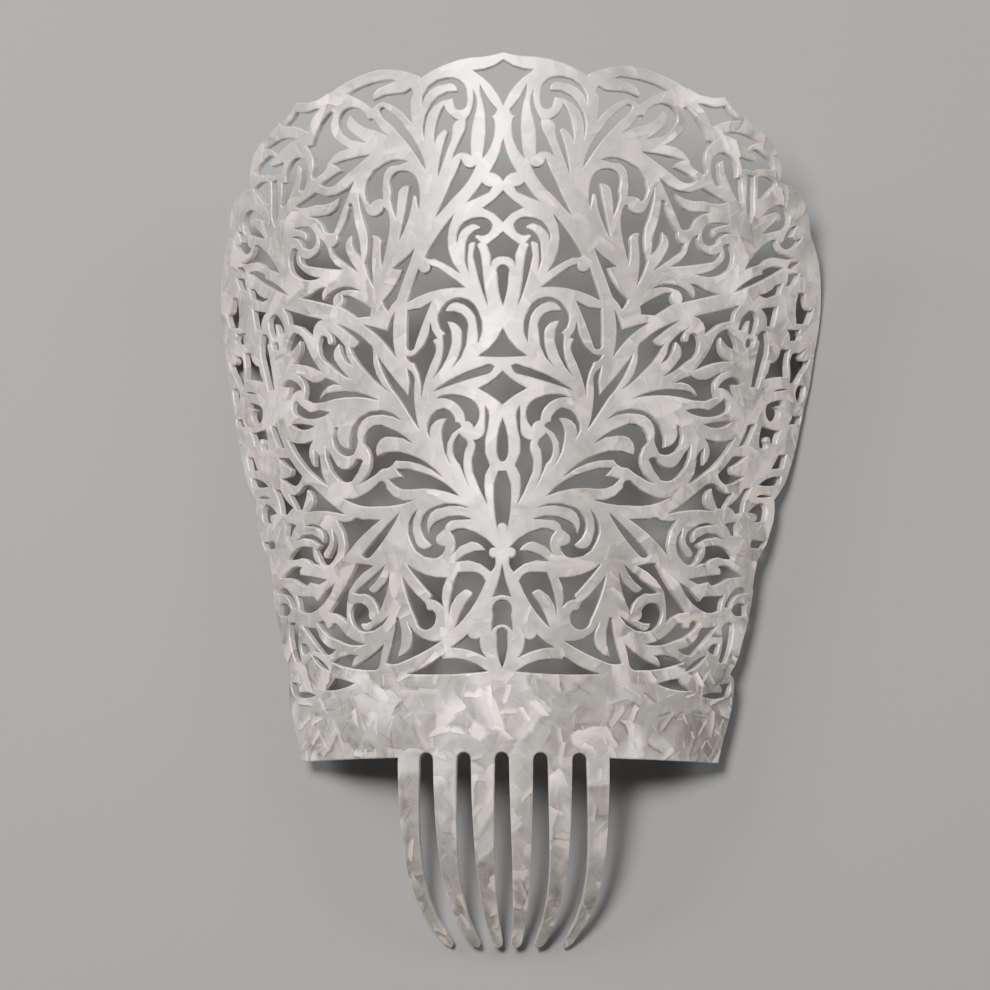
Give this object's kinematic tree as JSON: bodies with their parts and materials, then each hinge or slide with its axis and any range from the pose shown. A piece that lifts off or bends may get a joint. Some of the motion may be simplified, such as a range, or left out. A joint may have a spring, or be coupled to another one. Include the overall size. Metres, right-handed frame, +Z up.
{
  "type": "hair comb",
  "caption": "Tall one-piece ornamental hair comb: a curved pearl sheet pierced with scrolling fretwork above a plain band, with a short row of inward-curving teeth.",
  "frame": {"origin": "on the surface that the comb rests on, under the middle of its box", "axes": "+Y from the teeth to the peak of the crest, +Z up out of the surface, the hollow side faces down, +X across the comb to the right with the convex side seen from above and the crest away from the viewer"},
  "size_m": [0.1808, 0.2486, 0.065],
  "materials": {
    "pearl_sheet": "gloss"
  },
  "bodies": {
    "root": {"comb": "pearl_sheet"}
  },
  "joints": []
}
